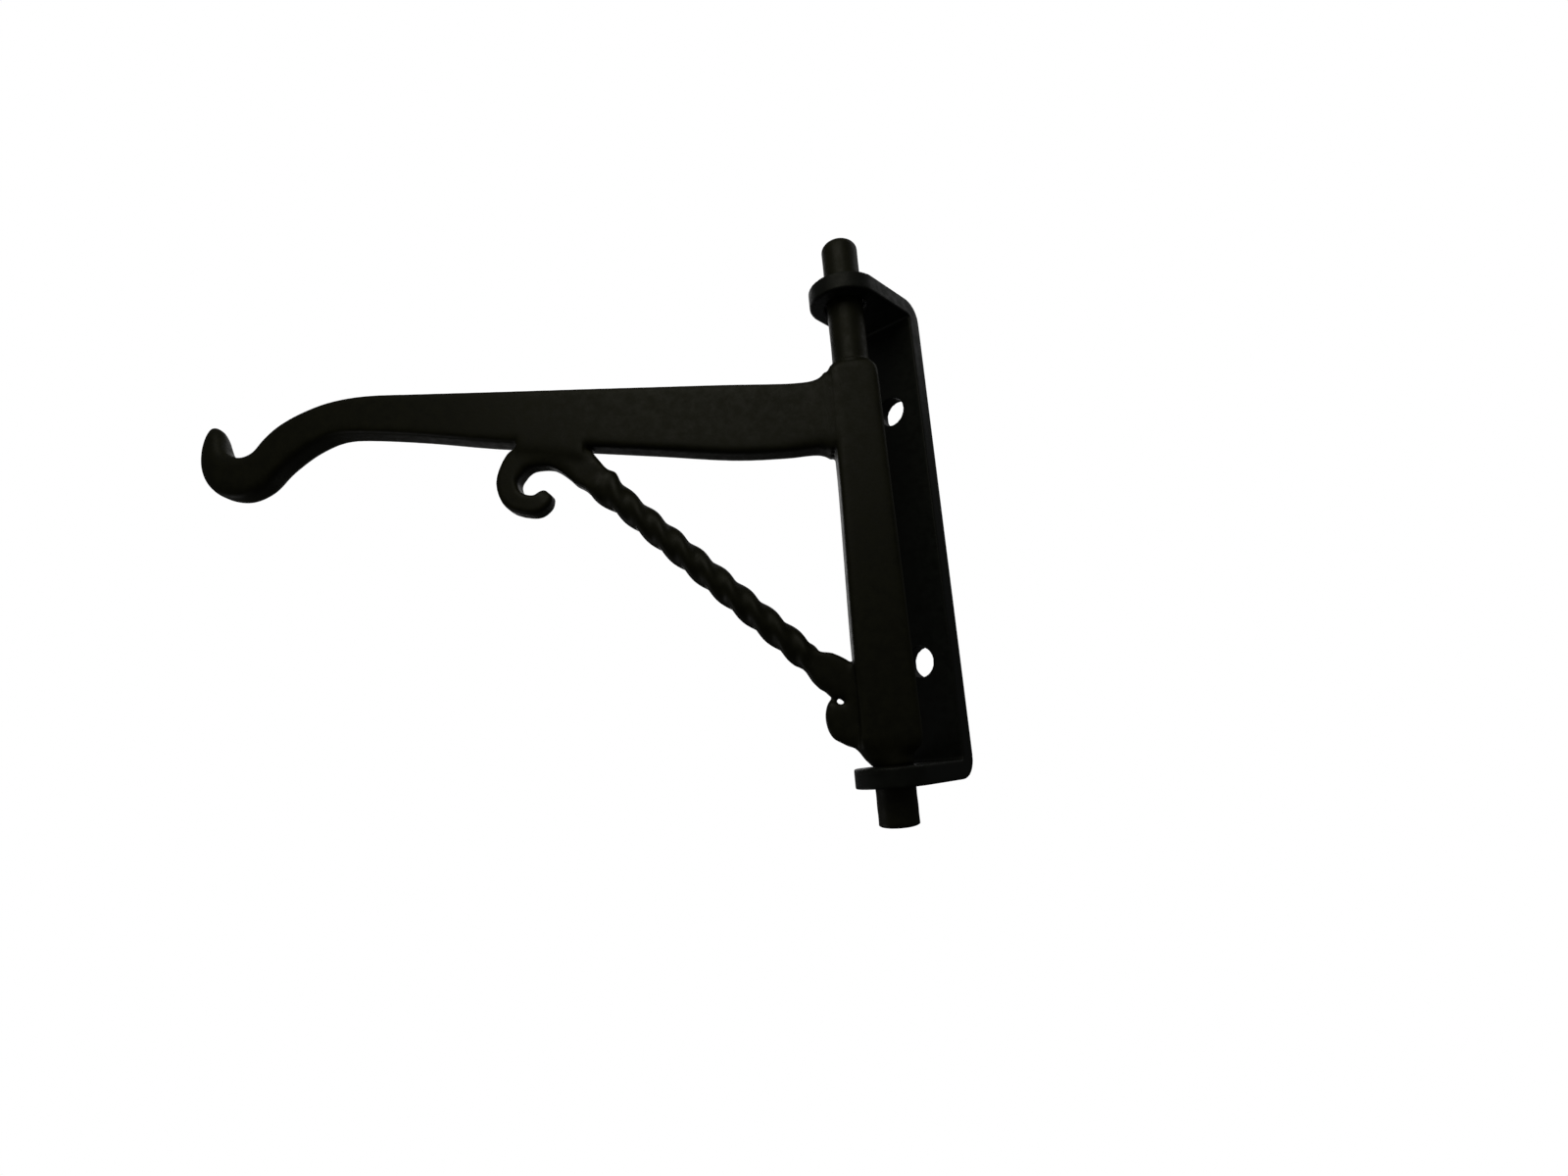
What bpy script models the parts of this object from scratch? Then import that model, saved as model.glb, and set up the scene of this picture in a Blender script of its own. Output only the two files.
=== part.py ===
"""Lift-off swing arm: a forged arm whose two round pins turn in the ears of a bent wall plate.

World axes: +Z runs up the pivot axis, the wall is the plane y = 0 and the object stands out from it
towards -Y. The arm is drawn swung part of the way out from the wall.
Lengths below are in millimetres and are turned into metres as the meshes are made.
"""
import math

import bmesh
import bpy
from mathutils import Vector

MM = 0.001
GAP = 0.3                    # clearance between pieces that touch

# Wall plate: one strip with both ends bent forward.
STRIP_WIDTH = 16.0
STRIP_THICKNESS = 4.0
PLATE_HEIGHT = 110.0         # over the outer faces of the two ears
BEND_RADIUS = 4.6            # outside of each bend
PIVOT_OFFSET = 18.4          # pivot axis to the wall
PIN_HOLE_DIAMETER = 8.9
SCREW_HOLE_DIAMETER = 6.7
SCREW_SPACING = 59.2

# Pivot pins, forged round at both ends of the spine.
PIN_DIAMETER = 8.2
UPPER_PIN_LENGTH = 31.2
LOWER_PIN_LENGTH = 12.3
UPPER_PIN_DOME = 2.4
LOWER_PIN_DOME = 0.8

# Arm, measured outward from the pivot axis and upward from the foot of the spine.
SWING_FROM_WALL = 40.0       # degrees between the arm and the wall
SPINE_HEIGHT = 86.2

# The foot of the spine rests on the bottom ear.
SEAT_Z = -PLATE_HEIGHT / 2 + STRIP_THICKNESS + GAP
SPINE_FOOT_UP = -0.5
LIFT_ORIGIN_Z = SEAT_Z - SPINE_FOOT_UP

# Spine: left edge (out, up), right edge (out, up), thickness, section exponent. It is a little
# thicker than the pins, which leaves a rounded shoulder above and below.
SPINE_STATIONS = [
    ((4.15, -0.5), (-4.15, -0.5), 8.3, 2.0),
    ((4.6, 0.1), (-4.15, 0.6), 8.3, 2.1),
    ((5.4, 1.0), (-4.3, 1.8), 8.4, 2.5),
    ((6.3, 2.6), (-5.3, 2.6), 8.7, 4.0),
    ((6.3, 3.8), (-5.8, 3.6), 9.3, 7.0),
    ((6.1, 5.4), (-5.9, 5.2), 9.6, 11.0),
    ((5.8, 8.5), (-5.9, 8.5), 9.6, 11.0),
    ((5.85, 25.0), (-5.7, 25.0), 9.6, 11.0),
    ((5.45, 45.0), (-5.5, 45.0), 9.6, 11.0),
    ((5.15, 62.0), (-5.3, 62.0), 9.6, 11.0),
    ((5.4, 79.0), (-5.2, 79.0), 9.6, 11.0),
    ((5.45, 83.6), (-5.1, 83.6), 9.6, 9.0),
    ((5.1, 85.1), (-4.7, 85.2), 9.3, 5.0),
    ((4.6, 85.8), (-4.4, 85.8), 8.8, 3.0),
    ((4.15, 86.2), (-4.15, 86.2), 8.3, 2.0),
]

# Hook arm: upper edge (out, up), lower edge (out, up), thickness, section exponent. It thickens
# towards the spine.
ARM_STATIONS = [
    ((6.1, 84.3), (6.1, 66.1), 8.4, 12.0),
    ((7.3, 83.0), (7.4, 67.0), 7.6, 12.0),
    ((10.0, 82.4), (10.0, 67.4), 6.6, 12.0),
    ((16.0, 82.5), (16.0, 67.2), 6.2, 12.0),
    ((28.0, 83.4), (28.0, 67.8), 6.2, 12.0),
    ((44.0, 84.4), (44.0, 70.2), 6.2, 12.0),
    ((60.0, 85.4), (60.0, 72.5), 6.2, 12.0),
    ((80.0, 86.6), (80.0, 75.3), 6.2, 12.0),
    ((96.0, 87.6), (96.0, 78.2), 6.2, 12.0),
    ((108.0, 88.3), (109.0, 80.0), 6.2, 10.0),
    ((116.1, 87.6), (115.1, 80.1), 6.2, 9.0),
    ((122.6, 85.6), (119.8, 78.5), 6.2, 8.0),
    ((127.5, 83.1), (123.6, 76.2), 6.2, 7.0),
    ((130.7, 80.4), (127.3, 73.1), 6.2, 6.0),
    ((133.1, 77.7), (130.7, 69.4), 6.2, 5.0),
    ((135.7, 76.7), (135.2, 67.5), 6.3, 4.4),
    ((138.3, 77.2), (139.6, 68.2), 6.3, 3.8),
    ((140.1, 78.7), (142.9, 70.8), 6.2, 3.2),
    ((140.7, 80.6), (144.8, 74.4), 5.9, 2.7),
    ((141.1, 82.3), (145.4, 78.5), 5.2, 2.3),
    ((142.0, 84.0), (145.1, 81.9), 3.9, 2.0),
    ((143.4, 85.0), (144.4, 84.4), 1.6, 2.0),
]

# Brace: plain square bar at both ends and a straight run at 45 degrees between them,
# twisted into three rounded ridges. Edges are (out, up); the first one faces the spine and the arm.
BAR_SIDE = 4.5
SCROLL_THICKNESS = 5.0
BAR_SQUARENESS = 12.0
RUN_RISE = 7.15              # height of the run's centreline where it would cross the pivot axis
RUN_FROM, RUN_TO = 14.3, 58.0
RUN_FADE = 1.8               # length over which the section changes from square to ridged
RUN_FLARE_FROM = 51.5        # the run widens from here towards the scroll
RUN_FLARE = 0.35
RIDGES = 3
RIDGE_PITCH = 4.72           # outward distance from one ridge to the next along one side
RIDGE_OUT = 21.5             # where one ridge faces away from the spine
RIDGE_RADIUS = 2.67
RIDGE_SWELL = 0.127
FOOT_STATIONS = [
    ((11.3, 13.2), (10.5, 13.0)),
    ((12.0, 12.2), (10.0, 12.0)),
    ((12.5, 10.2), (9.5, 10.8)),
    ((12.3, 7.8), (9.2, 9.2)),
    ((11.4, 5.8), (9.2, 8.6)),
    ((9.8, 4.7), (9.1, 8.3)),
    ((7.9, 3.7), (8.9, 8.3)),
    ((6.75, 4.3), (8.75, 8.7)),
    ((6.35, 10.0), (8.4, 10.7)),
    ((6.35, 12.4), (7.5, 12.0)),
    ((6.35, 14.8), (9.3, 13.6)),
    ((6.35, 16.8), (11.2, 14.2)),
    ((6.4, 19.8), (12.1, 15.2)),
    ((8.0, 21.4), (13.2, 15.9)),
    ((10.4, 22.7), (14.6, 17.5)),
]
LEAD_STATIONS = [
    ((58.4, 70.8), (62.3, 64.4)),
    ((59.6, 71.5), (64.4, 66.6)),
    ((63.0, 72.4), (67.0, 68.5)),
    ((67.2, 73.2), (69.4, 69.0)),
]
SCROLL_CENTRE = (71.5, 65.6)
SCROLL_STATIONS = [          # angle, outer radius, inner radius, share of the thickness
    (84.0, 8.1, 3.3, 1.0),
    (66.0, 8.4, 3.1, 1.0),
    (45.0, 8.1, 3.0, 1.0),
    (0.0, 7.7, 3.5, 1.0),
    (-45.0, 7.9, 3.7, 1.0),
    (-90.0, 7.5, 3.6, 0.95),
    (-118.0, 6.7, 3.1, 0.85),
    (-136.0, 5.5, 3.2, 0.6),
]

# Satin black paint.
ARM_COLOUR = (0.013, 0.012, 0.011)
PLATE_COLOUR = (0.012, 0.012, 0.014)
PAINT_ROUGHNESS = 0.5
PAINT_METALLIC = 0.0

FORGED_SIDES = 24
BAR_SIDES = 32
RUN_RINGS = 84
UP = Vector((0.0, 0.0, 1.0))
ACROSS = Vector((0.0, 1.0, 0.0))


def clear_scene():
    """Remove whatever the file starts with."""
    for obj in list(bpy.data.objects):
        bpy.data.objects.remove(obj, do_unlink=True)


def make_material(name, colour, roughness, metallic):
    """A plain Principled material."""
    material = bpy.data.materials.new(name)
    material.use_nodes = True
    shader = material.node_tree.nodes["Principled BSDF"]
    shader.inputs["Base Color"].default_value = (*colour, 1.0)
    shader.inputs["Roughness"].default_value = roughness
    shader.inputs["Metallic"].default_value = metallic
    return material


def new_object(name, mesh, colour, parent=None):
    """Link one named object with its own satin black paint under its parent empty."""
    mesh.materials.append(make_material(name + "_paint", colour, PAINT_ROUGHNESS, PAINT_METALLIC))
    mesh.shade_smooth()
    mesh.set_sharp_from_angle(angle=math.radians(35.0))
    obj = bpy.data.objects.new(name, mesh)
    obj.parent = parent
    bpy.context.collection.objects.link(obj)
    return obj


def new_empty(name, location, parent=None, turn=0.0):
    """An empty that marks a joint."""
    empty = bpy.data.objects.new(name, None)
    empty.location = location
    empty.rotation_euler.z = turn
    empty.parent = parent
    bpy.context.collection.objects.link(empty)
    return empty


def catmull_rom(rows, per_span):
    """Smooth curve through equally weighted rows of numbers."""
    padded = [rows[0]] + rows + [rows[-1]]
    samples = []
    for i in range(len(rows) - 1):
        a, b, c, d = padded[i:i + 4]
        for step in range(per_span):
            t = step / per_span
            samples.append([
                0.5 * (2 * q + (r - p) * t
                       + (2 * p - 5 * q + 4 * r - s) * t ** 2
                       + (3 * q - p - 3 * r + s) * t ** 3)
                for p, q, r, s in zip(a, b, c, d)
            ])
    samples.append(list(rows[-1]))
    return samples


def section(centre, half_a, half_b, exponent):
    """Closed rounded section: a superellipse spanned by two half-axes."""
    ring = []
    for i in range(FORGED_SIDES):
        angle = 2 * math.pi * (i + 0.5) / FORGED_SIDES
        c, s = math.cos(angle), math.sin(angle)
        a = math.copysign(abs(c) ** (2 / exponent), c)
        b = math.copysign(abs(s) ** (2 / exponent), s)
        ring.append(centre + half_a * a + half_b * b)
    return ring


def bar_section(centre, side, width, thickness, ridge_share=0.0, turn=0.0, flare=1.0):
    """Rounded-square section of the brace, blended into three ridges where it is twisted."""
    ring = []
    for i in range(BAR_SIDES):
        angle = 2 * math.pi * i / BAR_SIDES
        c, s = math.cos(angle), math.sin(angle)
        inverse = abs(2 * c / width) ** BAR_SQUARENESS + abs(2 * s / thickness) ** BAR_SQUARENESS
        plain = inverse ** (-1 / BAR_SQUARENESS)
        ridged = RIDGE_RADIUS * (1 + RIDGE_SWELL * math.cos(RIDGES * (angle - turn)))
        radius = plain + (ridged - plain) * ridge_share
        ring.append(centre + (side * c * flare + ACROSS * s) * radius)
    return ring


def loft(name, rings):
    """Closed skin over a row of sections, in millimetres."""
    bm = bmesh.new()
    loops = [[bm.verts.new(point * MM) for point in ring] for ring in rings]
    sides = len(loops[0])
    for lower, upper in zip(loops, loops[1:]):
        for i in range(sides):
            j = (i + 1) % sides
            bm.faces.new((lower[i], lower[j], upper[j], upper[i]))
    bm.faces.new(loops[0])
    bm.faces.new(loops[-1])
    bmesh.ops.recalc_face_normals(bm, faces=bm.faces)
    mesh = bpy.data.meshes.new(name)
    bm.to_mesh(mesh)
    bm.free()
    return mesh


def point(out, up):
    """A point in the plane of the arm."""
    return Vector((out, 0.0, up))


def bar_between_edges(name, stations, per_span):
    """Forged bar given by its two edges, its thickness and the squareness of its section."""
    rows = [[*first, *second, thickness, exponent] for first, second, thickness, exponent in stations]
    rings = []
    for out_a, up_a, out_b, up_b, thickness, exponent in catmull_rom(rows, per_span):
        edge_a, edge_b = point(out_a, up_a), point(out_b, up_b)
        half_depth = (edge_a - edge_b) / 2
        rings.append(section((edge_a + edge_b) / 2, half_depth, ACROSS * thickness / 2, exponent))
    return loft(name, rings)


def smoothstep(value, start, end):
    """0 before start, 1 after end, with a soft rise in between."""
    t = min(1.0, max(0.0, (value - start) / (end - start)))
    return t * t * (3 - 2 * t)


def rings_between_edges(rows, per_span):
    """Plain bar sections between two edges; rows hold both edges and the thickness."""
    rings = []
    for out_a, up_a, out_b, up_b, thickness in catmull_rom(rows, per_span):
        edge_a, edge_b = point(out_a, up_a), point(out_b, up_b)
        depth = edge_a - edge_b
        rings.append(bar_section((edge_a + edge_b) / 2, depth.normalized(), depth.length, thickness))
    return rings


def run_rings():
    """The straight twisted run. Ridges turn right-handed about the bar's own axis."""
    side = point(-1.0, 1.0).normalized()
    rings = []
    for i in range(RUN_RINGS + 1):
        out = RUN_FROM + (RUN_TO - RUN_FROM) * i / RUN_RINGS
        share = smoothstep(out, RUN_FROM, RUN_FROM + RUN_FADE)
        share *= 1.0 - smoothstep(out, RUN_TO - RUN_FADE, RUN_TO)
        turn = math.pi - 2 * math.pi / RIDGES * (out - RIDGE_OUT) / RIDGE_PITCH
        flare = 1.0 + RUN_FLARE * smoothstep(out, RUN_FLARE_FROM, RUN_TO)
        centre = point(out, out + RUN_RISE)
        rings.append(bar_section(centre, side, BAR_SIDE, BAR_SIDE, share, turn, flare))
    return rings


def scroll_row(angle, outer, inner, thickness_share):
    """Both edges of the scroll at one angle about its centre."""
    c, s = math.cos(math.radians(angle)), math.sin(math.radians(angle))
    out, up = SCROLL_CENTRE
    thickness = SCROLL_THICKNESS * thickness_share
    return [out + outer * c, up + outer * s, out + inner * c, up + inner * s, thickness]


def brace_mesh():
    """Square bar: tight curl and flared foot, twisted run, and an open scroll at the top."""
    foot = [[*first, *second, BAR_SIDE] for first, second in FOOT_STATIONS]
    foot[0][-1] = 0.6 * BAR_SIDE
    head = [[*first, *second, SCROLL_THICKNESS] for first, second in LEAD_STATIONS]
    head += [scroll_row(*station) for station in SCROLL_STATIONS]
    rings = rings_between_edges(foot, 3) + run_rings() + rings_between_edges(head, 4)
    return loft("scroll_brace", rings)


def pin_mesh(name, base_up, length, dome, direction):
    """Round pin from its base to a softly domed end."""
    radius = PIN_DIAMETER / 2
    half_x = Vector((radius, 0.0, 0.0))
    half_y = ACROSS * radius
    rings = [section(UP * base_up, half_x, half_y, 2.0)]
    shoulder = length - dome
    for i in range(9):
        angle = math.radians(90 * i / 8)
        scale = max(math.cos(angle), 0.12)
        height = shoulder + dome * math.sin(angle)
        rings.append(section(UP * (base_up + direction * height), half_x * scale, half_y * scale, 2.0))
    return loft(name, rings)


def prism(name, outline, axis, start, end):
    """Outline of two coordinates extruded along the third axis, in millimetres."""
    bm = bmesh.new()
    corners = []
    for u, v in outline:
        place = {"X": (start, u, v), "Z": (u, v, start)}[axis]
        corners.append(bm.verts.new(Vector(place) * MM))
    face = bm.faces.new(corners)
    moved = bmesh.ops.extrude_face_region(bm, geom=[face])
    shift = {"X": (end - start, 0, 0), "Z": (0, 0, end - start)}[axis]
    verts = [item for item in moved["geom"] if isinstance(item, bmesh.types.BMVert)]
    bmesh.ops.translate(bm, verts=verts, vec=Vector(shift) * MM)
    bmesh.ops.recalc_face_normals(bm, faces=bm.faces)
    mesh = bpy.data.meshes.new(name)
    bm.to_mesh(mesh)
    bm.free()
    return mesh


def hide_cutter(obj):
    """Keep a cutter out of the model."""
    obj.hide_render = True
    obj.display_type = 'WIRE'


def add_boolean(obj, cutter, operation):
    """Exact Boolean with a hidden cutter."""
    modifier = obj.modifiers.new(cutter.name, 'BOOLEAN')
    modifier.operation = operation
    modifier.solver = 'EXACT'
    modifier.object = cutter
    hide_cutter(cutter)


def quarter(centre, radius, start, steps=6):
    """Quarter circle as pairs, anticlockwise from the start angle."""
    pairs = []
    for i in range(steps + 1):
        angle = math.radians(start + 90 * i / steps)
        pairs.append((centre[0] + radius * math.cos(angle), centre[1] + radius * math.sin(angle)))
    return pairs


def plate_profile():
    """Side view of the bent strip as (y, z) pairs."""
    top = PLATE_HEIGHT / 2
    tip = -(PIVOT_OFFSET + STRIP_WIDTH / 2 + 1.0)
    inner_radius = BEND_RADIUS - STRIP_THICKNESS
    bend_y = -BEND_RADIUS
    bend_z = top - BEND_RADIUS
    outer = [(tip, -top)]
    outer += quarter((bend_y, -bend_z), BEND_RADIUS, 270)
    outer += quarter((bend_y, bend_z), BEND_RADIUS, 0)
    outer += [(tip, top), (tip, top - STRIP_THICKNESS)]
    inner = quarter((bend_y, bend_z), inner_radius, 0)[::-1]
    inner += quarter((bend_y, -bend_z), inner_radius, 270)[::-1]
    return outer + inner + [(tip, -top + STRIP_THICKNESS)]


def ear_outline():
    """Plan view of the plate as (x, y) pairs: straight sides and a half-round end."""
    half = STRIP_WIDTH / 2
    outline = [(half, 1.0), (-half, 1.0)]
    for i in range(33):
        angle = math.radians(180 + 180 * i / 32)
        outline.append((half * math.cos(angle), -PIVOT_OFFSET + half * math.sin(angle)))
    return outline


def cylinder_cutter(name, diameter, depth, centre, along_wall_normal):
    """Round cutter along Z, or along Y when it goes through the wall strip."""
    bm = bmesh.new()
    bmesh.ops.create_cone(bm, cap_ends=True, segments=40, radius1=diameter / 2 * MM,
                          radius2=diameter / 2 * MM, depth=depth * MM)
    mesh = bpy.data.meshes.new(name)
    bm.to_mesh(mesh)
    bm.free()
    cutter = bpy.data.objects.new(name, mesh)
    cutter.location = Vector(centre) * MM
    if along_wall_normal:
        cutter.rotation_euler.x = math.radians(90)
    bpy.context.collection.objects.link(cutter)
    return cutter


def build_wall_plate():
    """Bent strip with round-ended ears, pin holes and screw holes."""
    width = STRIP_WIDTH / 2
    mesh = prism("wall_plate", plate_profile(), "X", -width, width)
    plate = new_object("wall_plate", mesh, PLATE_COLOUR)
    top = PLATE_HEIGHT / 2
    outline = bpy.data.objects.new("ear_outline", prism("ear_outline", ear_outline(), "Z", -top - 2, top + 2))
    bpy.context.collection.objects.link(outline)
    add_boolean(plate, outline, 'INTERSECT')
    pin_hole = cylinder_cutter("pin_hole", PIN_HOLE_DIAMETER, PLATE_HEIGHT + 10,
                               (0, -PIVOT_OFFSET, 0), False)
    add_boolean(plate, pin_hole, 'DIFFERENCE')
    for name, side in (("screw_hole_upper", 1), ("screw_hole_lower", -1)):
        centre = (0, -STRIP_THICKNESS / 2, side * SCREW_SPACING / 2)
        hole = cylinder_cutter(name, SCREW_HOLE_DIAMETER, STRIP_THICKNESS + 4, centre, True)
        add_boolean(plate, hole, 'DIFFERENCE')
    return plate


def build_arm():
    """Pins on the lift axis, and the rest of the arm on the swing axis."""
    axis = Vector((0.0, -PIVOT_OFFSET, LIFT_ORIGIN_Z)) * MM
    lift = new_empty("lift_axis", axis)
    swing = new_empty("swing_axis", (0.0, 0.0, 0.0), lift, math.radians(180.0 + SWING_FROM_WALL))
    upper = pin_mesh("upper_pin", SPINE_HEIGHT + GAP, UPPER_PIN_LENGTH - GAP, UPPER_PIN_DOME, 1)
    lower = pin_mesh("lower_pin", SPINE_FOOT_UP - GAP, LOWER_PIN_LENGTH - GAP, LOWER_PIN_DOME, -1)
    new_object("upper_pin", upper, ARM_COLOUR, lift)
    new_object("lower_pin", lower, ARM_COLOUR, lift)
    new_object("spine_bar", bar_between_edges("spine_bar", SPINE_STATIONS, 4), ARM_COLOUR, swing)
    new_object("hook_arm", bar_between_edges("hook_arm", ARM_STATIONS, 4), ARM_COLOUR, swing)
    new_object("scroll_brace", brace_mesh(), ARM_COLOUR, swing)


def main():
    """Build the whole object."""
    clear_scene()
    build_wall_plate()
    build_arm()


main()
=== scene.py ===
import math

import bmesh
import bpy
import numpy as np
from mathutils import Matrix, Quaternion, Vector


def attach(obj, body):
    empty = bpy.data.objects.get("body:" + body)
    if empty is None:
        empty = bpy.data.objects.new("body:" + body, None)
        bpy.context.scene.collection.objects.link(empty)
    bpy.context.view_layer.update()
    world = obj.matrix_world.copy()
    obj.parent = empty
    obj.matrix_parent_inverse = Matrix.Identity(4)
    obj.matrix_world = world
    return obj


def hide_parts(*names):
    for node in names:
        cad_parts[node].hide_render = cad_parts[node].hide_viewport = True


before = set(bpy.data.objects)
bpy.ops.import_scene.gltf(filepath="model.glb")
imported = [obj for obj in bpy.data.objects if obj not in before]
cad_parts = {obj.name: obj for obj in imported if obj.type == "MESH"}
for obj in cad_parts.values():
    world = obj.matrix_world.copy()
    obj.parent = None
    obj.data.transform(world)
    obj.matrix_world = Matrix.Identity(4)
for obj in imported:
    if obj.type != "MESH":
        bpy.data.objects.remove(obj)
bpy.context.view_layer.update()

MM = 0.001

# The arm's own frame, in millimetres: out from the pivot, across towards the camera, and up.
PIVOT_OFFSET = 18.4          # from the wall to the pivot axis
SWING_FROM_WALL = math.radians(40.0)
FOOT_Z = -50.2               # height of the arm's zero level in the shared frame

# Camera, in the arm's frame.
CAMERA_AT = (16.82, 163.78, 3.69)
CAMERA_AIM = (19.01, 0.0, 37.50)
CAMERA_ROLL = math.radians(-4.709)
CAMERA_LENS = 18.187         # millimetres on a 36 mm sensor
CAMERA_NEAR = 0.005          # metres

# Forged skins.
MERGE = 0.01 * MM            # CAD vertices closer than this become one
VOXEL = 0.28 * MM            # grain of the remeshed skins
WELD = 0.30 * MM             # gaps and corners narrower than twice this are filled
SHRINK = 0.20 * MM           # given back, as remeshing and softening take it off the surface
SMOOTHING = 0.5              # share of the way to its neighbours' mean a vertex moves in one pass
ARM_SOFTNESS = 2             # smoothing passes
PLATE_SOFTNESS = 4
MELT_REACH = 5.0             # mm past a weld's ends over which the faces are hammered flush
MELT_PASSES = 60

# Weld metal between the forged pieces. Each weld is a short bar through three stations: how far
# out, the heights of its lower and upper edges, and its half-thickness across the arm.
WELDS = {
    "arm_root": [(3.0, 66.8, 83.4, 4.7), (6.5, 66.6, 83.4, 4.0), (9.5, 67.5, 82.3, 3.4)],
    "scroll_top": [(60.0, 69.0, 77.5, 3.10), (66.0, 70.6, 78.0, 3.10), (74.5, 72.3, 78.5, 3.05)],
    "brace_foot": [(4.0, 10.5, 19.8, 2.3), (6.2, 10.5, 20.2, 2.3), (8.2, 11.4, 19.6, 2.2)],
    "eye_floor": [(7.6, 10.4, 12.0, 2.2), (8.9, 10.4, 12.0, 2.2), (10.2, 10.4, 11.9, 2.2)],
    "curl_web": [(4.0, 2.4, 10.5, 2.2), (6.4, 2.6, 10.8, 2.2), (9.2, 5.5, 10.6, 2.1)],
}
WELD_SIDES = 24
WELD_ROUNDNESS = 0.3         # 1 for an oval section, 0 for a rectangle

# Pins, in millimetres; the two heights are in the arm's frame.
SPINE_TOP = 86.2
SPINE_FOOT = -0.5
PIN_RADIUS = 4.1
UPPER_PIN_LENGTH = 31.2
LOWER_PIN_LENGTH = 12.3
UPPER_PIN_DOME = 2.4
LOWER_PIN_DOME = 0.8
UPPER_PIN_FILLET = 1.0
LOWER_PIN_FILLET = 0.2
PIN_ROOT = 1.4               # how far a pin reaches into the spine
PIN_ROOT_INSET = 0.4         # how much narrower it is in there
PIN_UNEVENNESS = 0.04        # depth of the slight waves along a pin
PIN_WAVES = 9.0              # length of the shank in radians of those waves
DOME_ROUNDNESS = 0.8         # 1 for an oval dome, 0 for a flat end
PIN_SIDES = 96
FILLET_RINGS = 6
SHANK_RINGS = 24
DOME_RINGS = 8

# Paint. The colours are the dark and the light of the mottle, then the rubbed edges, which are
# also a painted highlight.
ARM_COLOURS = (
    (0.0140, 0.0138, 0.0030, 1.0),
    (0.0210, 0.0208, 0.0055, 1.0),
    (0.036, 0.036, 0.026, 1.0),
)
PLATE_COLOURS = (
    (0.0095, 0.0110, 0.0075, 1.0),
    (0.0150, 0.0175, 0.0130, 1.0),
    (0.030, 0.034, 0.031, 1.0),
)
# Painted shade: the dark that grooves and hollows are mixed towards.
PAINTED_SHADE = (0.002, 0.002, 0.001, 1.0)
BROAD_SCALE = 70.0           # noise scales are in repeats per metre
FINE_SCALE = 520.0
PEEL_SCALE = 1500.0
DENT_SCALE = 160.0
BROAD_SHARE = 0.35           # of the broad noise in the mottle; the rest is fine
MOTTLE_RANGE = (0.36, 0.64)  # of the mixed noise, from dark to light
RIM_RANGE = (0.545, 0.66)    # pointiness from where the edges start to be rubbed and lightened as a painted highlight to where they are most so
RIM_RAGGEDNESS = 0.10
RIM_STRENGTH = 0.5
HOLLOW_SHADE_RANGE = (0.45, 0.497)  # pointiness from full painted shade to none
HOLLOW_SHADE_STRENGTH = 0.8
FINE_RANGE = (0.3, 0.7)      # of the fine noise, from smooth paint to rough
ROUGHNESS = (0.42, 0.58)
ROUGHNESS_WORN_OFF = 0.08
SPECULAR = 0.35
DENTS = (0.15, 0.20 * MM)    # bump strength and height
FINE_GRAIN = (0.35, 0.10 * MM)
ORANGE_PEEL = (0.25, 0.04 * MM)

# Stage, in metres.
WHITE = (1.0, 1.0, 1.0, 1.0)
DOME_RADIUS = 6.0
FLOOR_RADIUS = 0.70
FLOOR_AT = (0.0, -0.06, -0.62)
FLOOR_DARK = (0.74, 0.74, 0.73, 1.0)
FLOOR_LIGHT = (0.78, 0.78, 0.77, 1.0)
GLOW_MOTTLE_SCALE = 9.0
WORLD_HEIGHTS = (-0.6, 0.8)  # upward parts of the directions between which the studio brightens
WORLD_LEVELS = (0.02, 0.06)

# Lights: where each stands and what it is aimed at, both in the arm's frame, then its size in
# metres, its power in watts and its tint.
LIGHTS = {
    "front_high": ((50.0, 170.0, 210.0), (50.0, 0.0, 60.0), 0.16, 0.058, (1.0, 0.98, 0.82)),
    "low_left": ((330.0, -60.0, -130.0), (70.0, 0.0, 60.0), 0.12, 0.040, (1.0, 1.0, 1.0)),
    "rim_right": ((-240.0, -120.0, 330.0), (0.0, 0.0, 70.0), 0.2, 0.07, (1.0, 1.0, 1.0)),
    "back_high": ((110.0, -300.0, 170.0), (30.0, 0.0, 40.0), 0.3, 0.22, (1.0, 1.0, 1.0)),
}


def place(out, across, up):
    """World position, in metres, of a point given in the arm's frame in millimetres."""
    c, s = math.cos(SWING_FROM_WALL), math.sin(SWING_FROM_WALL)
    x = -out * c + across * s
    y = -out * s - across * c - PIVOT_OFFSET
    return Vector((x, y, up + FOOT_Z)) * MM


def link(obj):
    """Put a new object in the scene."""
    bpy.context.scene.collection.objects.link(obj)
    return obj


# ---------------------------------------------------------------- materials

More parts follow.
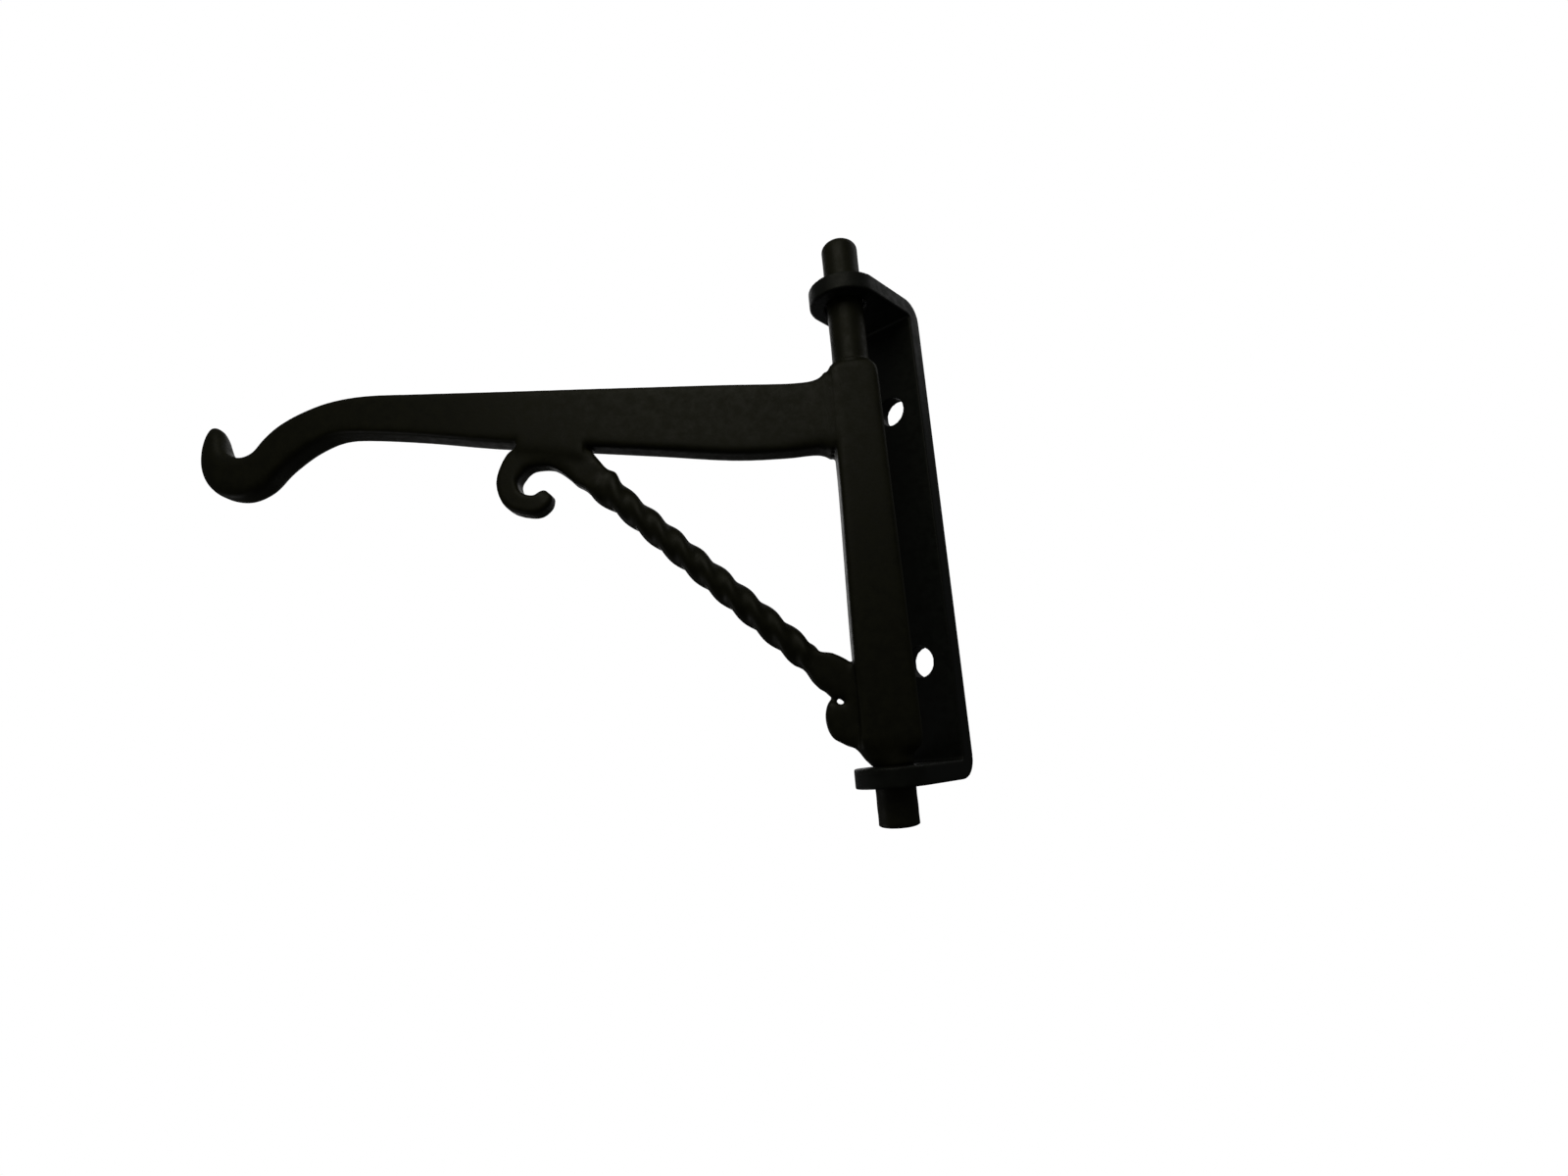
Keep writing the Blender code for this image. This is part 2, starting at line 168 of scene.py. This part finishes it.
class Nodes:
    """Shorthand for building one node tree."""

    def __init__(self, tree):
        self.tree = tree
        self.tree.nodes.clear()

    def feed(self, socket, value):
        """Set an input to a value, or link it to another node's output."""
        if isinstance(value, bpy.types.NodeSocket):
            self.tree.links.new(value, socket)
        else:
            socket.default_value = value

    def add(self, kind, inputs=None, **settings):
        """New node with its settings and inputs."""
        node = self.tree.nodes.new(kind)
        for key, value in settings.items():
            setattr(node, key, value)
        for key, value in (inputs or {}).items():
            self.feed(node.inputs[key], value)
        return node

    def noise(self, coordinates, scale, detail=3.0, roughness=0.55):
        """Noise value between 0 and 1."""
        inputs = {"Vector": coordinates, "Scale": scale, "Detail": detail, "Roughness": roughness}
        return self.add("ShaderNodeTexNoise", inputs).outputs["Fac"]

    def remap(self, value, low, high, to_low=0.0, to_high=1.0):
        """Smooth change from one range to another."""
        inputs = {
            "Value": value,
            "From Min": low,
            "From Max": high,
            "To Min": to_low,
            "To Max": to_high,
        }
        node = self.add("ShaderNodeMapRange", inputs, interpolation_type='SMOOTHSTEP')
        return node.outputs["Result"]

    def maths(self, operation, first, second):
        """One arithmetic step."""
        node = self.add("ShaderNodeMath", {0: first, 1: second}, operation=operation)
        return node.outputs["Value"]

    def mix(self, share, first, second):
        """Blend of two colours; sockets 0, 6, 7 and output 2 are the ones a colour mix uses."""
        node = self.add("ShaderNodeMix", {0: share, 6: first, 7: second}, data_type='RGBA')
        return node.outputs[2]

    def bump(self, height, strength, distance, under=None):
        """Bump on top of another one."""
        inputs = {"Height": height, "Strength": strength, "Distance": distance}
        if under is not None:
            inputs["Normal"] = under
        return self.add("ShaderNodeBump", inputs).outputs["Normal"]


def new_material(name):
    """Material with an empty node tree, and its object coordinates."""
    material = bpy.data.materials.new(name)
    material.use_nodes = True
    n = Nodes(material.node_tree)
    where = n.add("ShaderNodeTexCoord").outputs["Object"]
    return material, n, where


def iron_paint(name, dark, light, worn_and_highlit):
    """Satin black paint over forged iron: mottled, slightly peeled, with rubbed edges that are
    also lightened as a painted highlight, and painted shade in its hollows and grooves.
    """
    material, n, where = new_material(name)
    broad = n.noise(where, BROAD_SCALE, detail=4.0)
    fine = n.noise(where, FINE_SCALE, detail=4.0, roughness=0.65)
    peel = n.noise(where, PEEL_SCALE, detail=2.0)
    dents = n.noise(where, DENT_SCALE, detail=2.0, roughness=0.4)

    broad_part = n.maths('MULTIPLY', broad, BROAD_SHARE)
    fine_part = n.maths('MULTIPLY', fine, 1.0 - BROAD_SHARE)
    mottle = n.maths('ADD', broad_part, fine_part)
    colour = n.mix(n.remap(mottle, *MOTTLE_RANGE), dark, light)

    edges = n.add("ShaderNodeNewGeometry").outputs["Pointiness"]
    raggedness = n.maths('MULTIPLY', n.maths('SUBTRACT', fine, 0.5), RIM_RAGGEDNESS)
    # Rubbed edges, lighter also as a painted highlight on the rims.
    wear_and_highlight = n.remap(n.maths('ADD', edges, raggedness), *RIM_RANGE)
    colour = n.mix(n.maths('MULTIPLY', wear_and_highlight, RIM_STRENGTH), colour, worn_and_highlit)
    # Painted shade darkens the grooves and hollows.
    hollow_shade = n.remap(edges, *HOLLOW_SHADE_RANGE, HOLLOW_SHADE_STRENGTH, 0.0)
    colour = n.mix(hollow_shade, colour, PAINTED_SHADE)

    roughness = n.remap(fine, *FINE_RANGE, *ROUGHNESS)
    roughness = n.maths('SUBTRACT', roughness, n.maths('MULTIPLY', wear_and_highlight, ROUGHNESS_WORN_OFF))

    normal = n.bump(dents, *DENTS)
    normal = n.bump(fine, *FINE_GRAIN, normal)
    normal = n.bump(peel, *ORANGE_PEEL, normal)

    shader = n.add("ShaderNodeBsdfPrincipled", {
        "Base Color": colour,
        "Roughness": roughness,
        "Normal": normal,
        "Metallic": 0.0,
        "Specular IOR Level": SPECULAR,
    })
    n.add("ShaderNodeOutputMaterial", {"Surface": shader.outputs["BSDF"]})
    return material


def glow_material(name, dark, light):
    """Even glow between two close tones."""
    material, n, where = new_material(name)
    colour = n.mix(n.noise(where, GLOW_MOTTLE_SCALE), dark, light)
    glow = n.add("ShaderNodeEmission", {"Color": colour, "Strength": 1.0})
    n.add("ShaderNodeOutputMaterial", {"Surface": glow.outputs["Emission"]})
    return material


# ---------------------------------------------------------------- forged skins

def voxel(obj):
    """Remesh to one even skin."""
    modifier = obj.modifiers.new("voxel", 'REMESH')
    modifier.mode = 'VOXEL'
    modifier.voxel_size = VOXEL
    modifier.use_smooth_shade = True


def swell(obj, amount):
    """Move the skin out along its normals."""
    modifier = obj.modifiers.new("swell", 'DISPLACE')
    modifier.strength = amount
    modifier.mid_level = 0.0


def relax(obj, times):
    """Soften the skin."""
    modifier = obj.modifiers.new("relax", 'SMOOTH')
    modifier.factor = SMOOTHING
    modifier.iterations = times


def apply_modifiers(obj):
    """Keep the evaluated mesh."""
    graph = bpy.context.evaluated_depsgraph_get()
    mesh = bpy.data.meshes.new_from_object(obj.evaluated_get(graph))
    obj.modifiers.clear()
    obj.data = mesh


def rounded(value):
    """Sine or cosine, pushed out so that a circle becomes a square with rounded corners."""
    return math.copysign(abs(value) ** WELD_ROUNDNESS, value)


def add_weld(bm, stations):
    """Short rounded bar through the given stations."""
    rings = []
    for out, low, high, half in stations:
        ring = []
        for i in range(WELD_SIDES):
            angle = 2 * math.pi * (i + 0.5) / WELD_SIDES
            up = (low + high) / 2 + (high - low) / 2 * rounded(math.cos(angle))
            ring.append(bm.verts.new(place(out, half * rounded(math.sin(angle)), up)))
        rings.append(ring)
    faces = [bm.faces.new(rings[0]), bm.faces.new(rings[-1])]
    for lower, upper in zip(rings, rings[1:]):
        for i in range(WELD_SIDES):
            j = (i + 1) % WELD_SIDES
            faces.append(bm.faces.new((lower[i], lower[j], upper[j], upper[i])))
    bmesh.ops.recalc_face_normals(bm, faces=faces)


def melt_weights(points, welds):
    """How strongly each point is melted: fully near a weld, and not at all past its reach."""
    weight = np.zeros(len(points))
    for weld in welds:
        stations = WELDS[weld]
        out = (stations[0][0] + stations[-1][0]) / 2
        up = sum(low + high for _, low, high, _ in stations) / (2 * len(stations))
        spans = (stations[-1][0] - stations[0][0], stations[0][2] - stations[0][1])
        reach = (max(spans) / 2 + MELT_REACH) * MM
        distance = np.linalg.norm(points - np.array(place(out, 0.0, up)), axis=1)
        weight = np.maximum(weight, np.clip(2 - 2 * distance / reach, 0.0, 1.0))
    return weight


def melt(obj, welds):
    """Hammer the skin flush across the arm around its welds; its outline stays."""
    mesh = obj.data
    count = len(mesh.vertices)
    points = np.empty(count * 3)
    mesh.vertices.foreach_get("co", points)
    points = points.reshape(count, 3)
    ends = np.empty(len(mesh.edges) * 2, dtype=int)
    mesh.edges.foreach_get("vertices", ends)
    first, second = ends[0::2], ends[1::2]
    neighbours = np.bincount(ends, minlength=count)
    weight = melt_weights(points, welds)

    direction = np.array((place(0.0, 1.0, 0.0) - place(0.0, 0.0, 0.0)) / MM)
    before = points @ direction
    across = before.copy()
    for _ in range(MELT_PASSES):
        total = np.bincount(first, across[second], count)
        total += np.bincount(second, across[first], count)
        across += SMOOTHING * weight * (total / neighbours - across)
    points += np.outer(across - before, direction)
    mesh.vertices.foreach_set("co", points.ravel())
    mesh.update()


def forged_skin(name, nodes, body, material, welds, softness):
    """One forged skin over one or more CAD nodes, with their joints welded and edges rounded."""
    bm = bmesh.new()
    for node in nodes:
        bm.from_mesh(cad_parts[node].data)
    bmesh.ops.remove_doubles(bm, verts=bm.verts, dist=MERGE)
    for weld in welds:
        add_weld(bm, WELDS[weld])
    mesh = bpy.data.meshes.new(name)
    bm.to_mesh(mesh)
    bm.free()
    obj = link(bpy.data.objects.new(name, mesh))
    voxel(obj)
    if welds:
        swell(obj, WELD)
        voxel(obj)
        swell(obj, SHRINK - WELD)
        voxel(obj)
    relax(obj, softness)
    apply_modifiers(obj)
    if welds:
        melt(obj, welds)
    obj.data.shade_smooth()
    obj.data.materials.clear()
    obj.data.materials.append(material)
    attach(obj, body)
    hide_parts(*nodes)


# ---------------------------------------------------------------- pins

def add_ring(bm, radius, up):
    """Level ring of vertices about the pivot axis, or a single vertex where the radius is zero."""
    centre = place(0.0, 0.0, up)
    if radius == 0.0:
        return [bm.verts.new(centre)]
    ring = []
    for i in range(PIN_SIDES):
        angle = 2 * math.pi * i / PIN_SIDES
        around = Vector((math.cos(angle), math.sin(angle), 0.0))
        ring.append(bm.verts.new(centre + around * radius * MM))
    return ring


def turned(name, profile):
    """Solid turned about the pivot axis from (radius, up) pairs that start and end on the axis."""
    bm = bmesh.new()
    rings = [add_ring(bm, radius, up) for radius, up in profile]
    for lower, upper in zip(rings, rings[1:]):
        for i in range(PIN_SIDES):
            around = ((lower, i), (lower, i + 1), (upper, i + 1), (upper, i))
            corners = [ring[k % len(ring)] for ring, k in around]
            # On the axis two corners are the same vertex, and the face is a triangle.
            bm.faces.new(list(dict.fromkeys(corners)))
    bmesh.ops.recalc_face_normals(bm, faces=bm.faces)
    mesh = bpy.data.meshes.new(name)
    bm.to_mesh(mesh)
    bm.free()
    mesh.shade_smooth()
    return mesh


def pin_profile(length, dome, fillet):
    """(radius, height) pairs of a pin: its root in the spine, fillet, shank and domed end."""
    profile = [(0.0, -PIN_ROOT), (PIN_RADIUS - PIN_ROOT_INSET, -PIN_ROOT)]
    for i in range(FILLET_RINGS + 1):
        angle = math.radians(90 * i / FILLET_RINGS)
        radius = PIN_RADIUS + fillet * (1 - math.sin(angle))
        profile.append((radius, fillet * (1 - math.cos(angle))))
    straight = length - dome
    for i in range(1, SHANK_RINGS + 1):
        share = i / SHANK_RINGS
        radius = PIN_RADIUS - PIN_UNEVENNESS * math.sin(PIN_WAVES * share) ** 2
        profile.append((radius, fillet + (straight - fillet) * share))
    for i in range(1, DOME_RINGS):
        angle = math.radians(90 * i / DOME_RINGS)
        radius = PIN_RADIUS * math.cos(angle) ** DOME_ROUNDNESS
        profile.append((radius, straight + dome * math.sin(angle)))
    profile.append((0.0, straight + dome))
    return profile


def pin(name, base, length, dome, fillet, direction, material):
    """Round pin that points up from its base (direction 1) or down from it (direction -1)."""
    profile = [(r, base + direction * u) for r, u in pin_profile(length, dome, fillet)]
    forged = name + "_forged"
    obj = link(bpy.data.objects.new(forged, turned(forged, profile)))
    obj.data.materials.append(material)
    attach(obj, "pivot_pins")
    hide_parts(name)


def build_object():
    """Forged arm, its two pins and the wall plate."""
    arm = iron_paint("arm_black_paint", *ARM_COLOURS)
    plate = iron_paint("plate_black_paint", *PLATE_COLOURS)
    forged_skin("forged_arm", ["spine_bar", "hook_arm", "scroll_brace"], "swing_arm",
                arm, WELDS, ARM_SOFTNESS)
    forged_skin("bent_plate", ["wall_plate"], "wall_plate",
                plate, [], PLATE_SOFTNESS)
    pin("upper_pin", SPINE_TOP, UPPER_PIN_LENGTH, UPPER_PIN_DOME, UPPER_PIN_FILLET, 1, arm)
    pin("lower_pin", SPINE_FOOT, LOWER_PIN_LENGTH, LOWER_PIN_DOME, LOWER_PIN_FILLET, -1, arm)


# ---------------------------------------------------------------- the stage

def stage_piece(name, bm, material):
    """Part of the stage: the camera sees it, but it lights nothing and shows in no gloss."""
    mesh = bpy.data.meshes.new(name)
    bm.to_mesh(mesh)
    bm.free()
    mesh.shade_smooth()
    mesh.materials.append(material)
    piece = link(bpy.data.objects.new(name, mesh))
    for ray in ("diffuse", "glossy", "transmission", "volume_scatter", "shadow"):
        setattr(piece, "visible_" + ray, False)
    return piece


def build_floor():
    """Pale round board well below the object."""
    bm = bmesh.new()
    bmesh.ops.create_circle(bm, cap_ends=True, segments=96, radius=FLOOR_RADIUS)
    floor = stage_piece("floor", bm, glow_material("pale_floor", FLOOR_DARK, FLOOR_LIGHT))
    floor.location = FLOOR_AT


def build_surround():
    """White dome around everything."""
    bm = bmesh.new()
    bmesh.ops.create_uvsphere(bm, u_segments=48, v_segments=24, radius=DOME_RADIUS)
    stage_piece("surround", bm, glow_material("white_surround", WHITE, WHITE))


def build_world():
    """Dim grey studio, darker towards the floor."""
    world = bpy.data.worlds.new("studio")
    bpy.context.scene.world = world
    world.use_nodes = True
    n = Nodes(world.node_tree)
    direction = n.add("ShaderNodeTexCoord").outputs["Generated"]
    up = n.add("ShaderNodeSeparateXYZ", {0: direction}).outputs["Z"]
    level = n.remap(up, *WORLD_HEIGHTS, *WORLD_LEVELS)
    background = n.add("ShaderNodeBackground", {"Color": WHITE, "Strength": level})
    n.add("ShaderNodeOutputWorld", {"Surface": background.outputs["Background"]})


def look_along(at, aim):
    """Rotation of a light or camera that stands at one point and looks at another."""
    return (place(*aim) - place(*at)).to_track_quat('-Z', 'Y')


def area_light(name, at, aim, size, power, tint):
    """Soft square light that the camera does not see."""
    data = bpy.data.lights.new(name, 'AREA')
    data.color = tint
    data.size = size
    data.energy = power
    light = link(bpy.data.objects.new(name, data))
    light.visible_camera = False
    light.location = place(*at)
    light.rotation_euler = look_along(at, aim).to_euler()


def build_camera():
    """The photograph's viewing angle: square to the arm's face and from a little below."""
    data = bpy.data.cameras.new("camera")
    data.lens = CAMERA_LENS
    data.clip_start = CAMERA_NEAR
    camera = link(bpy.data.objects.new("camera", data))
    camera.location = place(*CAMERA_AT)
    camera.rotation_mode = 'QUATERNION'
    roll = Quaternion((0.0, 0.0, 1.0), CAMERA_ROLL)
    camera.rotation_quaternion = look_along(CAMERA_AT, CAMERA_AIM) @ roll
    bpy.context.scene.camera = camera


build_object()
build_floor()
build_surround()
build_world()
build_camera()
for light_name, light_settings in LIGHTS.items():
    area_light(light_name, *light_settings)
bpy.context.scene.view_settings.view_transform = 'Standard'
